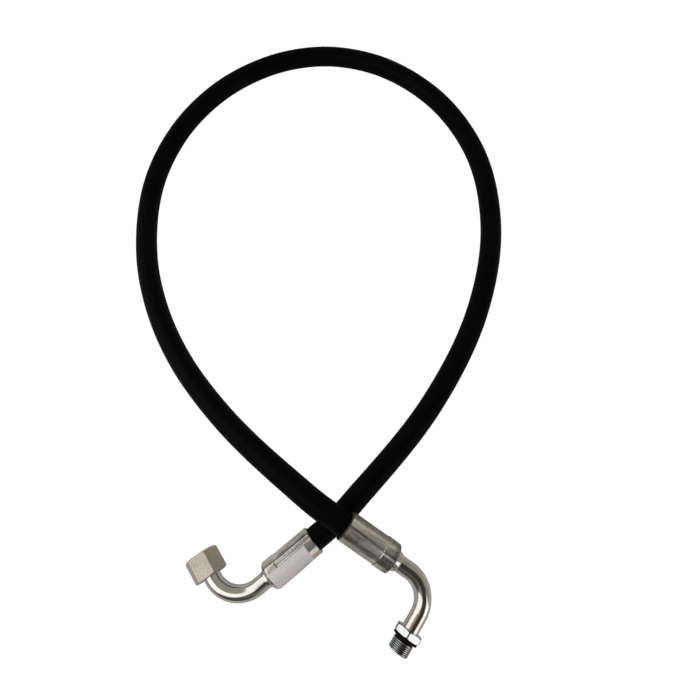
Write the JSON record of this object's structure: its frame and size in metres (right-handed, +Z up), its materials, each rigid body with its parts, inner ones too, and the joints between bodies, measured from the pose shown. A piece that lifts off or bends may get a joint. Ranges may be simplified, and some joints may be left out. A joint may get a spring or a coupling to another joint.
{
  "type": "hydraulic hose assembly",
  "caption": "Black hydraulic hose lying in one loop, a crimped 90 degree elbow at each end: one with a swivel nut over a sealing cone, the other with a swivelling male stud and seal ring.",
  "frame": {"origin": "centre of the assembly on the ground it lies on", "axes": "+X along the loop's width, +Y from the elbows to the far end of the loop, +Z up"},
  "size_m": [0.407, 0.6811, 0.0515],
  "materials": {
    "cover_rubber": "satin",
    "liner_rubber": "matte",
    "tie_rubber": "matte",
    "braid_wire": "satin",
    "ferrule_zinc": "satin",
    "fitting_zinc": "polished",
    "nut_zinc": "satin",
    "seal_rubber": "satin",
    "backup_plastic": "matte"
  },
  "bodies": {
    "hose_and_elbows": {"hose_inner_tube": "liner_rubber", "hose_inner_braid": "braid_wire", "hose_tie_layer": "tie_rubber", "hose_outer_braid": "braid_wire", "hose_cover": "cover_rubber", "nut_end_ferrule": "ferrule_zinc", "nut_end_hose_tail": "fitting_zinc", "nut_end_elbow_tube": "fitting_zinc", "sealing_cone": "fitting_zinc", "cone_o_ring": "seal_rubber", "stud_end_ferrule": "ferrule_zinc", "stud_end_hose_tail": "fitting_zinc", "stud_end_elbow_tube": "fitting_zinc", "swivel_spigot": "fitting_zinc", "swivel_o_ring": "seal_rubber", "swivel_backup_ring": "backup_plastic", "retaining_wire": "fitting_zinc"},
    "swivel_nut": {"swivel_nut": "nut_zinc"},
    "swivel_stud": {"stud_body": "fitting_zinc", "stud_seal_ring": "seal_rubber"}
  },
  "joints": [
    {"name": "nut_turn", "type": "hinge", "parent": "hose_and_elbows", "child": "swivel_nut", "pos_m": [-0.08839, 0.02144, 0.0137], "axis": [-0.5225, 0.8526, 0], "continuous": true},
    {"name": "stud_turn", "type": "hinge", "parent": "hose_and_elbows", "child": "swivel_stud", "pos_m": [0.08259, -0.04269, 0.0127], "axis": [-0.606, -0.7955, 0], "continuous": true}
  ]
}
